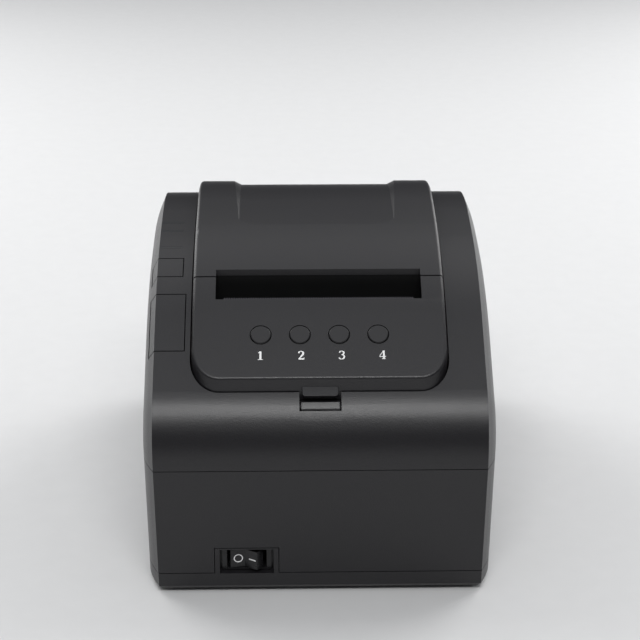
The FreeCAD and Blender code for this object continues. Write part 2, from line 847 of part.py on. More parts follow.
def zone_on_cover(x0, x1, y_mid, half_l, depth, rise=6.0):
    # Block standing square on the cover's slope at y_mid
    z = surface_z(y_mid)
    a = surface_slope(y_mid)
    block = box(x0, x1, -half_l, half_l, -depth, rise)
    block.rotate(V(0, 0, 0), V(1, 0, 0), math.degrees(a))
    block.translate(V(0, y_mid, z))
    return block


def key_zone(name, grow, room=0.0):
    if name == "release":
        y0, y1, x_in = release_front_y, release_rear_y, strip_inner_x
    else:
        y0, y1, x_in = feed_front_y, feed_rear_y, feed_inner_x
    mid = (y0 + y1) / 2
    half_l = (y1 - y0) / 2 / math.cos(surface_slope(mid)) + grow
    return zone_on_cover(-strip_outer_x - grow, -x_in + grow, mid, half_l, key_depth + room, 8)


def lamp_zone(y, grow):
    return zone_on_cover(-lamp_outer_x - grow, -lamp_inner_x + grow, y, lamp_w / 2 + grow, 9, 4)


def make_key(name, outer, inner):
    # A key cut from the cover's own skin, with a stem below it
    skin = outer.common(key_zone(name, 0.0)).cut(inner)
    y0, y1 = (release_front_y, release_rear_y) if name == "release" else (feed_front_y, feed_rear_y)
    mid = (y0 + y1) / 2
    depth = release_stem if name == "release" else feed_stem
    stem = zone_on_cover(-key_mid_x - 2, -key_mid_x + 2, mid, 2.0, depth, -wall + 0.5)
    return fuse([skin, stem])


def make_lamps(outer, inner):
    bars = []
    for y in lamp_ys:
        bars.append(outer.common(lamp_zone(y, 0)).cut(inner))
    return Part.makeCompound(bars)


def make_status_board():
    # Small board under the left strip with the feed switch and three lamps
    mid = (feed_front_y + lamp_ys[-1]) / 2
    return zone_on_cover(-strip_outer_x + 3, -strip_inner_x - 1.6, mid, 22, 12.0, -10.6)


def make_middle_housing():
    shell = lower_block(tray_top, case_split - seam, 0, 0).cut(
        lower_block(tray_top - 1, case_split + 1, wall, wall))
    low_lip = ring(case_split - 7, case_split - seam, wall - 0.1, wall + 1.3)
    high_lip = ring(case_split - seam - 0.1, case_split + 2.5, wall + 0.15, wall + 1.3)
    parts = [shell, low_lip, high_lip]
    shelf_y0, shelf_y1 = shelf_span()
    half = body_w / 2 - wall + 0.3
    shelf = box(-half, half, shelf_y0, shelf_y1, shelf_z, shelf_z + 2.5)
    shelf = shelf.common(lower_block(shelf_z - 2, shelf_z + 3, wall - 0.5, wall - 0.5))
    shelf = shelf.cut(box(-34, 34, shelf_y0 + 12, shelf_y1 - 12, shelf_z - 1, shelf_z + 4))
    parts.append(shelf)
    for x in (-38, 38):
        for y in (shelf_y0 + 6, shelf_y1 - 6):
            parts.append(rod_z(x, y, shelf_z + 1, frame_floor, 3.5))
    for x in (-screw_x, screw_x):
        for y in (-screw_y, screw_y):
            side = math.copysign(1, x)
            web0, web1 = sorted((x, side * (body_w / 2 - wall)))
            parts.append(rod_z(x, y, 12.0, shelf_z + 1, 4))
            parts.append(box(web0, web1, y - 1, y + 1, 16, shelf_z))
    housing = fuse(parts)
    x0, x1 = switch_x - upstand_half_w - 0.3, switch_x + upstand_half_w + 0.3
    housing = housing.cut(box(x0, x1, -body_d, -body_d / 2 + wall + 2, 0, upstand_top + 0.3))
    for x in (-screw_x, screw_x):
        for y in (-screw_y, screw_y):
            housing = housing.cut(rod_z(x, y, 0, 30, 1.5))
    half = port_plate_half_w
    return housing.cut(box(-half, half, rear_y - wall - 3, rear_y + 1, 0, port_plate_top))


def make_port_plate():
    # Plate that stands on the tray's rear edge, with a window for each socket
    half = port_plate_half_w - seam
    y1 = rear_y - port_plate_inset
    plate = box(-half, half, y1 - port_plate_t, y1, tray_top - seam, port_plate_top - seam)
    for x0, x1, z0, z1 in port_windows():
        plate = plate.cut(box(x0, x1, y1 - port_plate_t - 1, y1 + 1, z0, z1))
    return plate


def shelf_span():
    front = on_slope(-5, cutter_low_n - 0.2)[0]
    return front, platen_centre()[0] + 8


board_top = main_board_z + board_t
# Rear sockets: name, middle x, half width, height
ports = (("dc_socket", 40.0, 7.5, 11.0), ("usb_socket", 15.0, 6.0, 10.9),
         ("network_socket", -12.0, 8.0, 13.5), ("drawer_socket", -40.0, 6.6, 13.0))


def port_windows():
    rows = []
    for name, x, half, high in ports:
        rows.append((x - half - port_gap, x + half + port_gap, board_top - port_gap, board_top + high + port_gap))
    return rows


def make_port(index):
    name, x, half, high = ports[index]
    y1 = rear_y - 0.8
    body = box(x - half, x + half, y1 - 15, y1, board_top, board_top + high)
    mid_z = board_top + high / 2
    if name == "dc_socket":
        hole = Part.makeCylinder(5.0, 9, V(x, y1 - 9, mid_z), V(0, 1, 0))
        key = box(x - 1.2, x + 1.2, y1 - 6, y1 - 5.2, mid_z + 3.6, mid_z + 5.2)
        return body.cut(hole).fuse(key).removeSplitter()
    if name == "usb_socket":
        hole = box(x - 4.2, x + 4.2, y1 - 9, y1 + 1, mid_z - 3.9, mid_z + 3.9)
        tongue_part = box(x - 2.8, x + 2.8, y1 - 9.5, y1 - 1, mid_z - 1.6, mid_z + 1.6)
        return fuse([body.cut(hole), tongue_part])
    depth = 11.0
    hole = box(x - half + 1.8, x + half - 1.8, y1 - depth, y1 + 1, mid_z - 3.6, mid_z + 3.6)
    groove = box(x - 2.2, x + 2.2, y1 - depth, y1 + 1, mid_z - 5.2, mid_z)
    return body.cut(hole).cut(groove)


def make_base_tray():
    rim_top = tray_top - seam
    bevel = 1.5
    tray = fuse([lower_block(foot_h, foot_h + bevel, 1.2, 0), lower_block(foot_h + bevel, rim_top, 0, 0)])
    floor_z = foot_h + wall
    tray = tray.cut(lower_block(floor_z, rim_top + 1, wall, wall))
    parts = [tray, ring(floor_z - 0.2, rim_top, wall - 0.1, wall + 1.3)]
    parts.append(ring(rim_top - 0.1, tray_top + 3, wall + 0.15, wall + 1.3))
    x0, x1 = switch_x - upstand_half_w, switch_x + upstand_half_w
    front = -body_d / 2
    parts.append(box(x0, x1, front, front + recess_depth + 2, foot_h + 2, upstand_top))
    for x, y in board_posts():
        parts.append(rod_z(x, y, floor_z - 0.2, main_board_z, 3.5))
    for x in (-screw_x, screw_x):
        for y in (-screw_y, screw_y):
            parts.append(rod_z(x, y, floor_z - 0.2, 12.0, 5.5))
    tray = fuse(parts)
    tray = tray.cut(box(switch_x - recess_half_w, switch_x + recess_half_w, front - 1, front + recess_depth,
                        recess_low, recess_high))
    mid_z = (recess_low + recess_high) / 2
    tray = tray.cut(box(switch_x - switch_body_half_w - 0.1, switch_x + switch_body_half_w + 0.1, front, front + 20,
                        mid_z - switch_body_half_h - 0.1, mid_z + switch_body_half_h + 0.1))
    for x in (-screw_x, screw_x):
        for y in (-screw_y, screw_y):
            tray = tray.cut(rod_z(x, y, 0, 9.0, 3.4)).cut(rod_z(x, y, 0, 20, 1.8))
    for i in range(7):
        x = -18 + 6 * i
        tray = tray.cut(box(x - 1.2, x + 1.2, -20, 20, 0, floor_z + 1))
    for x in (-foot_x, foot_x):
        for y in (-foot_y, foot_y):
            tray = tray.cut(rod_z(x, y, 0, foot_h + 0.8, foot_r + 0.1))
    for px0, px1, z0, z1 in port_windows():
        tray = tray.cut(box(px0, px1, rear_y - wall - 3, rear_y + 1, z0, z1))
    return tray


def board_posts():
    return [(x, y) for x in (22.5 - side_x, side_x - 22.5) for y in (front_y + 35.5, rear_y - 25.5)]


def make_main_board():
    half = side_x - 15.5
    board = box(-half, half, front_y + 25.5, rear_y - wall - 2.5, main_board_z, board_top)
    chip = box(-8, 8, -8, 8, board_top, board_top + 1.4)
    caps = [rod_z(x, front_y + 47.5, board_top, board_top + 9, 4) for x in (30, 40)]
    connector = box(-30, -14, front_y + 29.5, front_y + 35.5, board_top, board_top + 6)
    return fuse([board, chip, connector] + caps)


def make_feet():
    feet = []
    for x in (-foot_x, foot_x):
        for y in (-foot_y, foot_y):
            pad = rod_z(x, y, 0, foot_h + 0.8, foot_r)
            low = [e for e in pad.Edges if e.BoundBox.ZMax < 0.01]
            feet.append(pad.makeChamfer(0.6, low))
    return Part.makeCompound(feet)


def make_base_screws():
    screws = []
    for x in (-screw_x, screw_x):
        for y in (-screw_y, screw_y):
            head = rod_z(x, y, 6.6, 9.0, 3.0)
            screws.append(fuse([head, rod_z(x, y, 8.9, 26, 1.45)]))
    return Part.makeCompound(screws)


def switch_mid_z():
    return (recess_low + recess_high) / 2


def make_switch_bezel():
    z = switch_mid_z()
    y0 = -body_d / 2 + recess_depth
    flange = box(switch_x - bezel_half_w, switch_x + bezel_half_w, y0 - bezel_t, y0, z - bezel_half_h, z + bezel_half_h)
    can = box(switch_x - switch_body_half_w, switch_x + switch_body_half_w, y0 - 0.2, y0 + switch_body_l,
              z - switch_body_half_h, z + switch_body_half_h)
    bezel = fuse([flange, can])
    pocket = box(switch_x - rocker_half_w - 0.7, switch_x + rocker_half_w + 0.7, y0 - bezel_t - 1, y0 + 8,
                 z - rocker_half_h - 0.3, z + rocker_half_h + 0.3)
    x, y = rocker_pivot()
    reach = rocker_half_h + rocker_pin_l + 0.1
    return bezel.cut(pocket).cut(rod_z(x, y, z - reach, z + reach, rocker_pin_r + 0.05))


def rocker_pivot():
    return switch_x, -body_d / 2 + recess_depth - bezel_t + rocker_pivot_in


def make_power_rocker():
    # V-shaped key that turns about an upright axis; its left half is pressed in
    x0, y0 = rocker_pivot()
    y = -rocker_pivot_in
    half = [(0, y + 0.3), (rocker_ridge_x, y - 1.7), (rocker_half_w, y + 1.2), (rocker_half_w - 1.6, 1.0)]
    points = [(-a, b) for a, b in reversed(half[1:])] + half
    corners = [V(a, b, -rocker_half_h) for a, b in points]
    rocker = Part.Face(Part.makePolygon(corners + corners[:1])).extrude(V(0, 0, 2 * rocker_half_h))
    reach = rocker_half_h + rocker_pin_l
    rocker = fuse([rocker, rod_z(0, 0, -reach, reach, rocker_pin_r)])
    rocker.rotate(V(0, 0, 0), V(0, 0, 1), -rocker_throw)
    rocker.translate(V(x0, y0, switch_mid_z()))
    return rocker


def make_paper_bin():
    # Open trough for the paper roll, with a flange that closes the space round it
    outer = fuse([rod_x(-bin_half_w - bin_wall, bin_half_w + bin_wall, roll_y, roll_z, bin_r + bin_wall),
                  box(-bin_half_w - bin_wall, bin_half_w + bin_wall, roll_y - bin_r - bin_wall,
                      roll_y + bin_r + bin_wall, roll_z, top_z)])
    inner = fuse([rod_x(-bin_half_w, bin_half_w, roll_y, roll_z, bin_r),
                  box(-bin_half_w, bin_half_w, roll_y - bin_r, roll_y + bin_r, roll_z, top_z)])
    limit = slab_inner(slab_skirt + flange_gap, body_w / 2)
    low_limit = slab_inner(slab_skirt + flange_gap + flange_t, body_w / 2)
    front_y = roll_y - bin_r - bin_wall
    flange_half = slab_half_w + slab_gap - 0.1
    flange = limit.cut(low_limit).common(box(-flange_half, flange_half, front_y, hinge_y - 9, hinge_z - 2, top_z))
    tub = outer.common(limit)
    tub = tub.cut(box(-60, 60, front_y - 1, front_y + bin_wall + 5, roll_z + 22, top_z))
    flange = flange.cut(box(-bin_half_w - bin_wall, bin_half_w + bin_wall, front_y - 1, front_y + bin_wall + 5,
                            roll_z + 22, top_z))
    return fuse([tub, flange]).cut(inner)


def make_hinge_pin():
    return hinge_ring(-pin_half_l, pin_half_l, pin_r)


def lock_pivot():
    y, z = platen_centre()
    return y + lock_pivot_back, z - lock_pivot_drop


def release_point():
    # End of the release key's stem at rest
    mid = (release_front_y + release_rear_y) / 2
    a = surface_slope(mid)
    return mid + release_stem * math.sin(a), surface_z(mid) - release_stem * math.cos(a)


def make_lock_hook():
    # Lever outside the left side plate: a hook beside the roller's bush and an arm to the release key
    py, pz = platen_centre()
    y, z = lock_pivot()
    x0 = plate_x + plate_t + 0.4
    front = py - bush_r - 0.7
    hook = plate_yz([(y - 3, z - 2.5), (y + 3, z - 2.5), (y + 3, z + 2), (front, pz - 5), (front, pz + 6),
                     (front - 4, pz + 6), (front - 4, pz - 7)], -x0 - 1.5, -x0)
    cy, cz = release_point()
    a = surface_slope((release_front_y + release_rear_y) / 2)
    cy += 0.3 * math.sin(a)
    cz -= 0.3 * math.cos(a)
    arm = plate_yz([(y - 3, z - 2.5), (y + 2, z + 2.5), (cy + 2.5 * math.cos(a), cz + 2.5 * math.sin(a)),
                    (cy - 2.5 * math.cos(a), cz - 2.5 * math.sin(a))], -key_mid_x - 1, -key_mid_x + 1)
    pivot = rod_x(-key_mid_x - 1, -x0, y, z, 3.2)
    lever = fuse([hook, arm, pivot])
    return lever.cut(rod_x(-key_mid_x - 2, -x0 + 1, y, z, 2.05))


def make_lock_pin():
    y, z = lock_pivot()
    return rod_x(-key_mid_x - 2, -plate_x - plate_t, y, z, 2)


def build():
    outer = top_block(0)
    inner = top_block(wall)
    slab = make_slab()
    nodes = {
        "base_tray": make_base_tray(),
        "rubber_feet": make_feet(),
        "base_screws": make_base_screws(),
        "middle_housing": make_middle_housing(),
        "upper_cover": make_upper_cover(outer, inner),
        "paper_bin": make_paper_bin(),
        "main_board": make_main_board(),
        "switch_bezel": make_switch_bezel(),
        "power_rocker": make_power_rocker(),
        "mechanism_frame": make_mechanism_frame(),
        "print_head": make_print_head(),
        "heat_sink": make_heat_sink(),
        "head_springs": make_head_springs(),
        "cutter_frame": make_cutter_frame(),
        "cutter_blade": make_cutter_blade(),
        "cutter_gear": make_cutter_gear(),
        "cutter_motor": make_cutter_motor(),
        "stepper_motor": make_stepper_motor(),
        "motor_shaft": make_motor_shaft(),
        "motor_pinion": make_motor_pinion(),
        "idler_gear": make_idler_gear(),
        "lid_shell": make_lid_shell(slab),
        "platen_bracket": make_platen_bracket(),
        "platen_bushes": make_bushes(),
        "platen_roller": make_platen_roller(),
        "platen_shaft": make_platen_shaft(),
        "platen_gear": make_platen_gear(),
        "fixed_blade": make_fixed_blade(),
        "hinge_pin": make_hinge_pin(),
        "button_panel": make_button_panel(slab),
        "button_board": make_button_board(),
        "tear_bar": make_tear_bar(),
        "lock_hook": make_lock_hook(),
        "lock_pin": make_lock_pin(),
        "release_key": make_key("release", outer, inner),
        "feed_key": make_key("feed", outer, inner),
        "indicator_lamps": make_lamps(outer, inner),
        "status_board": make_status_board(),
        "port_plate": make_port_plate(),
    }
    for i, x in enumerate(button_xs()):
        nodes["button_%d" % (i + 1)] = make_button(x)
    for i, row in enumerate(ports):
        nodes[row[0]] = make_port(i)
    return nodes


os.makedirs("parts", exist_ok=True)
for node, shape in build().items():
    shape.exportStep("parts/%s.step" % node)
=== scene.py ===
import bmesh
import bpy
import math
from mathutils import Matrix, Vector


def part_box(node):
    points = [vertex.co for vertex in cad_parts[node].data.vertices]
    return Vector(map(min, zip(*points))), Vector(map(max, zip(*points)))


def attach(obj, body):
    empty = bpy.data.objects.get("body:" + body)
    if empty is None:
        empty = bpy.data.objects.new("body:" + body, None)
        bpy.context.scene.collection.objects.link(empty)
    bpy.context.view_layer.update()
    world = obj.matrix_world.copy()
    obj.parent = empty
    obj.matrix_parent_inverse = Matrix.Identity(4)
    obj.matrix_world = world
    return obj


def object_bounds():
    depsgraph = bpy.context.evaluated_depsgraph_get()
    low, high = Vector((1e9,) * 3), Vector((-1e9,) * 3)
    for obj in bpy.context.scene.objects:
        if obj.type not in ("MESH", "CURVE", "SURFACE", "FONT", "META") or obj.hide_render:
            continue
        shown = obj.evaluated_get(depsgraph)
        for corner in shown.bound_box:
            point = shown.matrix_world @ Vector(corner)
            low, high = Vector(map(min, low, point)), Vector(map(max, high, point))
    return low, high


# Countertop ticket printer in black plastic. Metres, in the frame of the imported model.
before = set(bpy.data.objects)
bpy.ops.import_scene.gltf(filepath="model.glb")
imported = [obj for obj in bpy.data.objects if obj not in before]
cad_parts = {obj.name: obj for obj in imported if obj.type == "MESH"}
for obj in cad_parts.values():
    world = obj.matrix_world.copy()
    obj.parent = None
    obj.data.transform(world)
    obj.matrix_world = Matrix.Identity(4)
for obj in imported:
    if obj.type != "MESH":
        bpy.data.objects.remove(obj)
cad_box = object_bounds()


# Case mouldings
# Tray, middle and cover are injection-moulded in black ABS. The mould is spark-eroded, so that the
# surface has a fine even grain that sparkles where it mirrors a lamp.
def finish_from(name, colour, roughness):
    material = bpy.data.materials.new(name)
    material.use_nodes = True
    shader = material.node_tree.nodes["Principled BSDF"]
    shader.inputs["Base Color"].default_value = (*colour, 1)
    shader.inputs["Roughness"].default_value = roughness
    return material, shader


def grain_on(material, shader, size, depth):
    # Raised grain of the given size and depth in metres, from noise in the object's own coordinates
    nodes, links = material.node_tree.nodes, material.node_tree.links
    place = nodes.new("ShaderNodeTexCoord")
    noise = nodes.new("ShaderNodeTexNoise")
    noise.inputs["Scale"].default_value = 1 / size
    bump = nodes.new("ShaderNodeBump")
    bump.inputs["Strength"].default_value = 1.0
    bump.inputs["Distance"].default_value = depth
    links.new(place.outputs["Object"], noise.inputs["Vector"])
    links.new(noise.outputs["Fac"], bump.inputs["Height"])
    links.new(bump.outputs["Normal"], shader.inputs["Normal"])
    return noise


def shade_between(material, shader, socket, source, low, high):
    # Lets a noise move the colour or the roughness a little between two values
    nodes, links = material.node_tree.nodes, material.node_tree.links
    if socket == "Base Color":
        mix = nodes.new("ShaderNodeMix")
        mix.data_type = "RGBA"
        mix.inputs["A"].default_value = (*low, 1)
        mix.inputs["B"].default_value = (*high, 1)
        links.new(source.outputs["Fac"], mix.inputs["Factor"])
        links.new(mix.outputs["Result"], shader.inputs[socket])
    else:
        span = nodes.new("ShaderNodeMapRange")
        span.inputs["To Min"].default_value = low
        span.inputs["To Max"].default_value = high
        links.new(source.outputs["Fac"], span.inputs["Value"])
        links.new(span.outputs["Result"], shader.inputs[socket])


def dress(names, material):
    for name in names:
        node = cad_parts[name]
        node.data.materials.clear()
        node.data.materials.append(material)


case_grain = 0.00045
case_grain_depth = 0.00005
case_black, case_shader = finish_from("case_black", colour=(0.0105, 0.0098, 0.0115), roughness=0.42)
case_noise = grain_on(case_black, case_shader, case_grain, case_grain_depth)
shade_between(case_black, case_shader, "Base Color", case_noise,
              low=(0.0085, 0.0080, 0.0096), high=(0.0125, 0.0118, 0.0136))
shade_between(case_black, case_shader, "Roughness", case_noise, low=0.30, high=0.42)
dress(["base_tray", "middle_housing", "upper_cover", "lid_shell", "button_panel"], case_black)
dress(["release_key", "feed_key"], case_black)


# Finger tab
# The panel is lifted by a plate that runs down from its front wall over a small pocket in the cover.
# A low sill stands in the pocket in front of the plate's end.
knee_r = 0.034
case_split = 0.057
split_to_knee = 0.002
knee_start_z = case_split + split_to_knee
slope_degrees = 37
panel_slope = math.radians(slope_degrees)
front_y = cad_box[0].y
wall_inset = 0.0137
wall_y = front_y + wall_inset
tab_half_w = 0.0073
tab_proud = 0.0018
tab_reach = 0.0034
tab_thick = 0.0022
tab_corner_r = 0.0013
corner_segments = 8
tab_root = 0.001
pocket_half_w = 0.0085
pocket_floor_z = 0.07665
rim_from = 31.3
rim_to = 38.25
rim_steps = 6
sill_from = 39.5
sill_to = 44.6
sill_steps = 4
sill_proud = 0.0002
sill_half_w = 0.00785
soft_edge = 0.0002


def knee_point(degrees, proud=0.0):
    # A (y, z) point on or above the cover's round front, by how far its normal rises above level
    angle = math.radians(degrees)
    return (front_y + knee_r - (knee_r + proud) * math.cos(angle),
            knee_start_z + (knee_r + proud) * math.sin(angle))


def pocket_outline(first, last, steps, proud=0.0):
    # From the pocket's floor up to the round front, which it follows between two angles
    top = [knee_point(first + (last - first) * k / steps, proud) for k in range(steps + 1)]
    return top + [(top[-1][0], pocket_floor_z), (top[0][0], pocket_floor_z)]


def object_from(name, mesh):
    data = bpy.data.meshes.new(name)
    mesh.to_mesh(data)
    mesh.free()
    piece = bpy.data.objects.new(name, data)
    bpy.context.collection.objects.link(piece)
    return piece


def bar_across(name, outline, half_w, body, rounded=(), radius=0.0):
    # A closed (y, z) outline drawn out from -half_w to half_w, with the corners in rounded filleted
    mesh = bmesh.new()
    ends = [[mesh.verts.new((x, y, z)) for y, z in outline] for x in (-half_w, half_w)]
    mesh.faces.new(ends[0])
    mesh.faces.new(ends[1])
    for i in range(len(outline)):
        j = (i + 1) % len(outline)
        mesh.faces.new((ends[0][i], ends[0][j], ends[1][j], ends[1][i]))
    bmesh.ops.recalc_face_normals(mesh, faces=mesh.faces)
    if rounded:
        pairs = [{end[i] for i in rounded} for end in ends]
        edges = [edge for edge in mesh.edges if set(edge.verts) in pairs]
        bmesh.ops.bevel(mesh, geom=edges, offset=radius, segments=corner_segments,
                        affect="EDGES", profile=0.5)
    piece = object_from(name, mesh)
    piece.data.materials.append(case_black)
    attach(piece, body)
    return piece


def soften(piece):
    rounding = piece.modifiers.new("soft_edges", "BEVEL")
    rounding.width = soft_edge
    rounding.segments = 2


tab_top_z = knee_point(90 - slope_degrees)[1] + tab_proud
tab_end = (wall_y - tab_reach, tab_top_z - tab_reach * math.tan(panel_slope))
tab_low = (tab_end[0] + tab_thick * math.sin(panel_slope), tab_end[1] - tab_thick * math.cos(panel_slope))
tab_root_y = wall_y + tab_root
tab_outline = [(tab_root_y, tab_top_z), (wall_y, tab_top_z), tab_end, tab_low,
               (tab_root_y, tab_low[1] + (tab_root_y - tab_low[0]) * math.tan(panel_slope))]
soften(bar_across("finger_tab", tab_outline, tab_half_w, "panel", rounded=(2, 3), radius=tab_corner_r))
rim = pocket_outline(rim_from, rim_to, rim_steps)
bar_across("pocket_rim", rim, pocket_half_w, "base")
sill = pocket_outline(sill_from, sill_to, sill_steps, sill_proud)
soften(bar_across("pocket_sill", sill, sill_half_w, "base"))

# The plain block on the panel that the plate takes the place of is cut away in front of the wall
block_half_w = 0.009
block_low_z = 0.0856
block_high_z = 0.0916
block_reach = 0.005
wall_gap = 0.00002
crisp_degrees = 20
block_front_y = wall_y - block_reach
block_rear_y = wall_y - wall_gap
trim = bmesh.new()
bmesh.ops.create_cube(trim, size=1.0)
for corner in trim.verts:
    corner.co = Vector((math.copysign(block_half_w, corner.co.x),
                        block_rear_y if corner.co.y > 0 else block_front_y,
                        block_high_z if corner.co.z > 0 else block_low_z))
trim_piece = object_from("tab_trim", trim)
trim_piece.hide_render = True
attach(trim_piece, "panel")
panel_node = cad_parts["button_panel"]
tab_cut = panel_node.modifiers.new("tab_trim", "BOOLEAN")
tab_cut.operation = "DIFFERENCE"
tab_cut.solver = "EXACT"
tab_cut.object = trim_piece
crisp = panel_node.modifiers.new("crisp_edges", "EDGE_SPLIT")
crisp.split_angle = math.radians(crisp_degrees)


# Inner mouldings
# The paper bin, the lid's inner frame, the lock lever and the socket plate are plain black ABS with
# the smoother surface of a machined mould. Their colour is painted darker than the case's black as
# painted shade, so that the inside of the paper slot stays dark.
inner_black, inner_shader = finish_from("inner_black", colour=(0.005, 0.005, 0.0052), roughness=0.5)
inner_noise = grain_on(inner_black, inner_shader, size=0.0012, depth=0.00001)
shade_between(inner_black, inner_shader, "Roughness", inner_noise, low=0.42, high=0.58)
inner_shader.inputs["Specular IOR Level"].default_value = 0.25
dress(["paper_bin", "platen_bracket", "lock_hook", "port_plate"], inner_black)


# Function buttons
# Four round caps of the same black plastic as the case, worn a little smoother by fingers.
button_black, button_shader = finish_from("button_black", colour=(0.0125, 0.012, 0.0135), roughness=0.36)
button_noise = grain_on(button_black, button_shader, size=0.0005, depth=0.00001)
shade_between(button_black, button_shader, "Roughness", button_noise, low=0.30, high=0.42)
button_names = ["button_%d" % (i + 1) for i in range(4)]
dress(button_names, button_black)


# Printed digits
# White numbers under the buttons, screen-printed on the panel in a thin layer of ink.
digit_height = 0.0040
digit_drop = 0.0096
digit_spread = 1.0345
digit_offset_x = 0.00066
ink_thickness = 0.00006
layer_step = 0.15
curve_steps = 8
button_along = 0.0203
digit_along = button_along - digit_drop
slab_rise = 0.0054
lip_y = front_y + knee_r * (1 - math.sin(panel_slope))
lip_z = knee_start_z + knee_r * math.cos(panel_slope) + slab_rise
ink_white, ink_shader = finish_from("ink_white", colour=(0.86, 0.86, 0.86), roughness=0.5)
ink_noise = grain_on(ink_white, ink_shader, size=0.0003, depth=0.000004)
shade_between(ink_white, ink_shader, "Base Color", ink_noise,
              low=(0.80, 0.80, 0.80), high=(0.90, 0.90, 0.90))


def stroke(points):
    # The two sides of a pen stroke along points of (x, y, width), smoothed between the points
    dense = []
    for i in range(len(points) - 1):
        before = points[max(i - 1, 0)]
        a, b = points[i], points[i + 1]
        after = points[min(i + 2, len(points) - 1)]
        end_too = i == len(points) - 2
        for k in range(curve_steps + end_too):
            t = k / curve_steps
            dense.append([0.5 * (2 * a[j] + (b[j] - before[j]) * t
                                 + (2 * before[j] - 5 * a[j] + 4 * b[j] - after[j]) * t * t
                                 + (3 * a[j] - before[j] - 3 * b[j] + after[j]) * t ** 3) for j in range(3)])
    left, right = [], []
    for i, (x, y, width) in enumerate(dense):
        ahead = dense[min(i + 1, len(dense) - 1)]
        behind = dense[max(i - 1, 0)]
        along = Vector((ahead[0] - behind[0], ahead[1] - behind[1])).normalized()
        across = Vector((-along.y, along.x)) * width / 2
        left.append((x + across.x, y + across.y))
        right.append((x - across.x, y - across.y))
    return left, right


# Pen strokes of each digit in a box one unit high, thick down and thin across as in print
digit_strokes = {
    "1": [[(0.02, 0.02, 0.20), (0.02, 0.5, 0.20), (0.02, 0.98, 0.20)],
          [(-0.24, 0.03, 0.06), (0.28, 0.03, 0.06)],
          [(-0.22, 0.80, 0.06), (-0.10, 0.84, 0.10), (0.02, 0.94, 0.12)]],
    "2": [[(-0.22, 0.72, 0.17), (-0.20, 0.88, 0.12), (0.0, 0.96, 0.08), (0.20, 0.84, 0.17),
           (0.19, 0.62, 0.20), (0.0, 0.36, 0.15), (-0.24, 0.10, 0.08)],
          [(-0.26, 0.08, 0.15), (0.30, 0.08, 0.16)],
          [(0.29, 0.04, 0.06), (0.31, 0.26, 0.05)]],
    "3": [[(-0.24, 0.78, 0.15), (-0.17, 0.91, 0.11), (0.0, 0.96, 0.08), (0.18, 0.84, 0.16),
           (0.17, 0.64, 0.16), (0.0, 0.53, 0.07)],
          [(-0.04, 0.53, 0.07), (0.16, 0.47, 0.12), (0.24, 0.27, 0.19), (0.12, 0.08, 0.13),
           (-0.10, 0.03, 0.08), (-0.24, 0.12, 0.13), (-0.24, 0.20, 0.14)]],
    "4": [[(0.12, 0.02, 0.19), (0.12, 0.5, 0.19), (0.12, 0.98, 0.19)],
          [(0.08, 0.94, 0.06), (-0.12, 0.64, 0.07), (-0.32, 0.32, 0.06)],
          [(-0.33, 0.29, 0.08), (0.33, 0.29, 0.08)],
          [(-0.08, 0.03, 0.06), (0.31, 0.03, 0.06)]],
}


def panel_point(x, along, above):
    # A point of the sloping panel: along runs up the slope from its front lip, above stands off it
    y = lip_y + along * math.cos(panel_slope) - above * math.sin(panel_slope)
    z = lip_z + along * math.sin(panel_slope) + above * math.cos(panel_slope)
    return Vector((x, y, z))


for name, digit in zip(button_names, "1234"):
    low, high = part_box(name)
    middle_x = (low.x + high.x) / 2 * digit_spread + digit_offset_x
    mesh = bmesh.new()
    for layer, points in enumerate(digit_strokes[digit]):
        # Each stroke lies a little higher than the one before, so that no two faces share a plane
        lift = ink_thickness * (1 + layer_step * layer)
        left_low, left_high, right_low, right_high = [
            [mesh.verts.new(panel_point(middle_x + x * digit_height,
                                        digit_along + (y - 0.5) * digit_height, above)) for x, y in side]
            for side in stroke(points) for above in (0, lift)]
        for i in range(len(left_low) - 1):
            mesh.faces.new((left_high[i], left_high[i + 1], right_high[i + 1], right_high[i]))
            mesh.faces.new((left_low[i], left_low[i + 1], left_high[i + 1], left_high[i]))
            mesh.faces.new((right_high[i], right_high[i + 1], right_low[i + 1], right_low[i]))
        for i in (0, len(left_low) - 1):
            mesh.faces.new((left_low[i], left_high[i], right_high[i], right_low[i]))
    bmesh.ops.recalc_face_normals(mesh, faces=mesh.faces)
    piece = object_from("digit_" + digit, mesh)
    piece.data.materials.append(ink_white)
    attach(piece, "panel")


# Light bars
# Three slim light pipes of smoked plastic in the left strip, unlit.
lamp_smoke, lamp_shader = finish_from("lamp_smoke", colour=(0.012, 0.013, 0.015), roughness=0.32)
lamp_noise = grain_on(lamp_smoke, lamp_shader, size=0.002, depth=0.000004)
shade_between(lamp_smoke, lamp_shader, "Roughness", lamp_noise, low=0.28, high=0.38)
dress(["indicator_lamps"], lamp_smoke)


# Rubber feet and printing roller
# Moulded black rubber, matt on the feet, and ground smooth on the roller that grips the paper.
rubber, rubber_shader = finish_from("rubber", colour=(0.018, 0.018, 0.018), roughness=0.75)
rubber_noise = grain_on(rubber, rubber_shader, size=0.0006, depth=0.00003)
shade_between(rubber, rubber_shader, "Base Color", rubber_noise,
              low=(0.014, 0.014, 0.014), high=(0.024, 0.024, 0.024))
dress(["rubber_feet"], rubber)
roller_rubber, roller_shader = finish_from("roller_rubber", colour=(0.03, 0.03, 0.033), roughness=0.55)
roller_noise = grain_on(roller_rubber, roller_shader, size=0.0004, depth=0.000008)
shade_between(roller_rubber, roller_shader, "Roughness", roller_noise, low=0.48, high=0.62)
dress(["platen_roller"], roller_rubber)


# Steel and sheet metal
# Bright steel shafts, pins, blades and springs, a darkened steel tear bar, and zinc-plated sheet for
# the mechanism's frame. The heat sink is milled aluminium, and the socket shells are nickel-plated.
metal_grain_depth = 0.000004


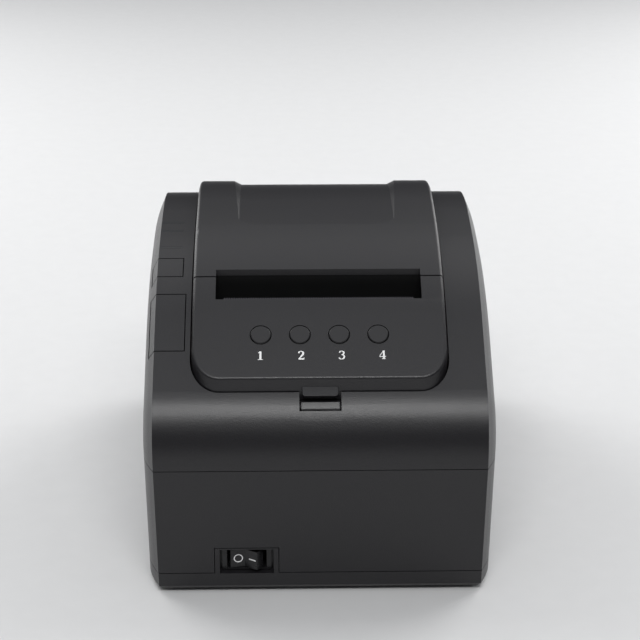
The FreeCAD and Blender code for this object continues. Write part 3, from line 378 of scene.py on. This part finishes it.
def metal_from(name, colour, low, high, grain):
    # Bare metal whose roughness lies between low and high, with a faint grain of the given size
    material, shader = finish_from(name, colour, low)
    shader.inputs["Metallic"].default_value = 1.0
    noise = grain_on(material, shader, grain, metal_grain_depth)
    shade_between(material, shader, "Roughness", noise, low, high)
    return material


bright_steel = metal_from("bright_steel", (0.55, 0.56, 0.58), low=0.22, high=0.38, grain=0.0008)
dress(["base_screws", "head_springs", "cutter_motor", "stepper_motor", "hinge_pin", "lock_pin"],
      bright_steel)
dress(["fixed_blade", "platen_shaft", "motor_shaft", "motor_pinion", "cutter_blade"], bright_steel)
dark_steel = metal_from("dark_steel", (0.07, 0.068, 0.075), low=0.40, high=0.55, grain=0.0006)
dress(["tear_bar"], dark_steel)
zinc_sheet = metal_from("zinc_sheet", (0.60, 0.61, 0.62), low=0.30, high=0.50, grain=0.004)
dress(["mechanism_frame", "cutter_frame"], zinc_sheet)
milled_aluminium = metal_from("milled_aluminium", (0.72, 0.73, 0.74), low=0.28, high=0.42, grain=0.0006)
dress(["heat_sink"], milled_aluminium)
nickel_shell = metal_from("nickel_shell", (0.62, 0.62, 0.62), low=0.18, high=0.30, grain=0.001)
dress(["usb_socket", "network_socket"], nickel_shell)


# Print head
# A ceramic strip with a glazed print line, which presses the paper against the roller.
head_ceramic, head_shader = finish_from("head_ceramic", colour=(0.09, 0.075, 0.065), roughness=0.2)
head_noise = grain_on(head_ceramic, head_shader, size=0.002, depth=0.000003)
shade_between(head_ceramic, head_shader, "Roughness", head_noise, low=0.15, high=0.26)
dress(["print_head"], head_ceramic)


# Gears and bushes
# Natural acetal, milky white with a waxy sheen.
acetal, acetal_shader = finish_from("acetal", colour=(0.78, 0.77, 0.73), roughness=0.38)
acetal_shader.inputs["Subsurface Weight"].default_value = 0.15
acetal_shader.inputs["Subsurface Radius"].default_value = (0.001, 0.001, 0.001)
acetal_noise = grain_on(acetal, acetal_shader, size=0.001, depth=0.000004)
shade_between(acetal, acetal_shader, "Roughness", acetal_noise, low=0.32, high=0.44)
dress(["platen_bushes", "platen_gear", "idler_gear", "cutter_gear"], acetal)


# Circuit boards
# Glass-fibre boards under green solder mask, whose surface is faintly uneven.
board_green, board_shader = finish_from("board_green", colour=(0.012, 0.09, 0.04), roughness=0.3)
board_noise = grain_on(board_green, board_shader, size=0.0007, depth=0.000006)
shade_between(board_green, board_shader, "Base Color", board_noise,
              low=(0.010, 0.075, 0.032), high=(0.016, 0.105, 0.048))
dress(["main_board", "button_board", "status_board"], board_green)


# Power switch
# A rocker in gloss black nylon in a bezel of the same, with white marks printed on its two faces.
switch_black, switch_shader = finish_from("switch_black", colour=(0.010, 0.010, 0.011), roughness=0.24)
switch_noise = grain_on(switch_black, switch_shader, size=0.003, depth=0.000006)
shade_between(switch_black, switch_shader, "Roughness", switch_noise, low=0.18, high=0.32)
dress(["switch_bezel", "power_rocker"], switch_black)

mark_reach = 0.0029
ring_r = 0.0017
ring_width = 0.00042
dash_half = 0.0014
dash_width = 0.0005
ring_steps = 32
ray_start = 0.01
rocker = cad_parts["power_rocker"]
rocker_low, rocker_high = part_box("power_rocker")
rocker_middle = (rocker_low + rocker_high) / 2


def on_rocker(x, z, above):
    # The point of the rocker's face straight behind (x, z), lifted forward by above
    to_local = rocker.matrix_world.inverted()
    start = to_local @ Vector((x, rocker_low.y - ray_start, z))
    way = (to_local.to_3x3() @ Vector((0, 1, 0))).normalized()
    place = rocker.ray_cast(start, way)[1]
    return rocker.matrix_world @ place - Vector((0, above, 0))


def printed_band(name, inner, outer, closed):
    # A flat band of ink on the rocker between two rows of (x, z) points
    mesh = bmesh.new()
    inner_low, inner_high, outer_low, outer_high = [
        [mesh.verts.new(on_rocker(x, z, above)) for x, z in row]
        for row in (inner, outer) for above in (0, ink_thickness)]
    sides = ((inner_high, outer_high), (inner_low, inner_high), (outer_high, outer_low))
    count = len(inner)
    for i in range(count if closed else count - 1):
        j = (i + 1) % count
        for first, second in sides:
            mesh.faces.new((first[i], first[j], second[j], second[i]))
    bmesh.ops.recalc_face_normals(mesh, faces=mesh.faces)
    piece = object_from(name, mesh)
    piece.data.materials.append(ink_white)
    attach(piece, "rocker")


ring_points = []
for radius in (ring_r - ring_width / 2, ring_r + ring_width / 2):
    ring_points.append([(rocker_middle.x - mark_reach + radius * math.cos(a),
                         rocker_middle.z + radius * math.sin(a))
                        for a in [math.tau * k / ring_steps for k in range(ring_steps)]])
printed_band("off_mark", ring_points[0], ring_points[1], closed=True)
dash_points = [[(rocker_middle.x + mark_reach + x, rocker_middle.z + z) for x in (-dash_half, 0, dash_half)]
               for z in (-dash_width / 2, dash_width / 2)]
printed_band("on_mark", dash_points[0], dash_points[1], closed=False)


# Sockets of black plastic
# Moulded connector bodies in glass-filled nylon.
socket_black, socket_shader = finish_from("socket_black", colour=(0.012, 0.012, 0.013), roughness=0.45)
socket_noise = grain_on(socket_black, socket_shader, size=0.0005, depth=0.00001)
shade_between(socket_black, socket_shader, "Roughness", socket_noise, low=0.38, high=0.52)
dress(["dc_socket", "drawer_socket"], socket_black)


# Studio
# A plain pale floor, under air that is bright overhead and dim at the horizon as in a lit room. A
# strip lamp stands high in front, and a broad one high behind. At each side one lamp shines from
# the rear, and one down on the floor.
floor_half = 3.0
overhead_level = 0.7
horizon_level = 0.05
fade_power = 2.0
seen_level = 1.0
floor_mesh = bmesh.new()
corners = [floor_mesh.verts.new((x * floor_half, y * floor_half, 0))
           for x, y in ((-1, -1), (1, -1), (1, 1), (-1, 1))]
floor_mesh.faces.new(corners)
floor = object_from("studio_floor", floor_mesh)
floor_paint, floor_shader = finish_from("floor_paint", colour=(0.66, 0.66, 0.66), roughness=0.8)
floor_noise = grain_on(floor_paint, floor_shader, size=0.01, depth=0.00002)
shade_between(floor_paint, floor_shader, "Base Color", floor_noise,
              low=(0.65, 0.65, 0.65), high=(0.68, 0.68, 0.68))
floor.data.materials.append(floor_paint)

world = bpy.data.worlds.new("studio_air")
bpy.context.scene.world = world
world.use_nodes = True
air_nodes, air_links = world.node_tree.nodes, world.node_tree.links
air = air_nodes["Background"]
air.inputs["Color"].default_value = (0.9, 0.92, 0.95, 1)
# The camera sees the air at one even level, and only what it lights gets the gradient
air_path = air_nodes.new("ShaderNodeLightPath")
air_level = air_nodes.new("ShaderNodeMapRange")
air_level.inputs["To Max"].default_value = seen_level
air_place = air_nodes.new("ShaderNodeTexCoord")
air_height = air_nodes.new("ShaderNodeSeparateXYZ")
air_rise = air_nodes.new("ShaderNodeMapRange")
air_fade = air_nodes.new("ShaderNodeMath")
air_fade.operation = "POWER"
air_fade.inputs[1].default_value = fade_power
air_dim = air_nodes.new("ShaderNodeMath")
air_dim.operation = "MULTIPLY_ADD"
air_dim.inputs[1].default_value = overhead_level
air_dim.inputs[2].default_value = horizon_level
air_links.new(air_place.outputs["Generated"], air_height.inputs["Vector"])
air_links.new(air_height.outputs["Z"], air_rise.inputs["Value"])
air_links.new(air_rise.outputs["Result"], air_fade.inputs[0])
air_links.new(air_fade.outputs["Value"], air_dim.inputs[0])
air_links.new(air_dim.outputs["Value"], air_level.inputs["To Min"])
air_links.new(air_path.outputs["Is Camera Ray"], air_level.inputs["Value"])
air_links.new(air_level.outputs["Result"], air.inputs["Strength"])


def soft_lamp(name, place, aim, width, height, watts):
    lamp = bpy.data.lights.new(name, "AREA")
    lamp.shape = "RECTANGLE"
    lamp.size = width
    lamp.size_y = height
    lamp.energy = watts
    holder = bpy.data.objects.new(name, lamp)
    bpy.context.collection.objects.link(holder)
    holder.visible_camera = False
    holder.location = place
    holder.rotation_euler = (Vector(aim) - Vector(place)).to_track_quat("-Z", "Y").to_euler()


printer_middle = (0, 0, 0.07)
soft_lamp("top_lamp", (0, -0.68, 0.86), printer_middle,
          width=0.6, height=0.2, watts=4.8)
soft_lamp("rear_lamp", (0, 0.45, 1.0), printer_middle,
          width=1.2, height=0.6, watts=1.0)
for side in (-1, 1):
    soft_lamp("side_lamp", (side * 0.75, 0.75, 0.45), printer_middle,
              width=0.7, height=0.8, watts=4.5)
    soft_lamp("floor_lamp", (side * 0.60, 0.40, 0.8), (side * 0.5, 0.40, 0),
              width=0.5, height=0.5, watts=2.4)


# Camera
# It looks down at the front as in the photograph, a little off the printer's middle.
camera_rise = math.radians(23.0)
camera_turn = math.radians(-1.387)
camera_roll = math.radians(-0.181)
camera_distance = 0.6848
aim_side = -0.000526
aim_up = 0.060617
lens_pixels = 1700
picture_pixels = 640
back = Vector((math.sin(camera_turn) * math.cos(camera_rise),
               -math.cos(camera_turn) * math.cos(camera_rise), math.sin(camera_rise)))
right = Vector((math.cos(camera_turn), math.sin(camera_turn), 0))
up = back.cross(right)
aim = Vector((0, front_y, case_split)) + right * aim_side + up * aim_up
camera_data = bpy.data.cameras.new("camera")
camera_data.lens = camera_data.sensor_width * lens_pixels / picture_pixels
camera = bpy.data.objects.new("camera", camera_data)
bpy.context.collection.objects.link(camera)
turned = Matrix((right, up, back)).transposed() @ Matrix.Rotation(-camera_roll, 3, "Z")
camera.matrix_world = Matrix.Translation(aim + back * camera_distance) @ turned.to_4x4()
bpy.context.scene.camera = camera
bpy.context.scene.view_settings.view_transform = "Standard"
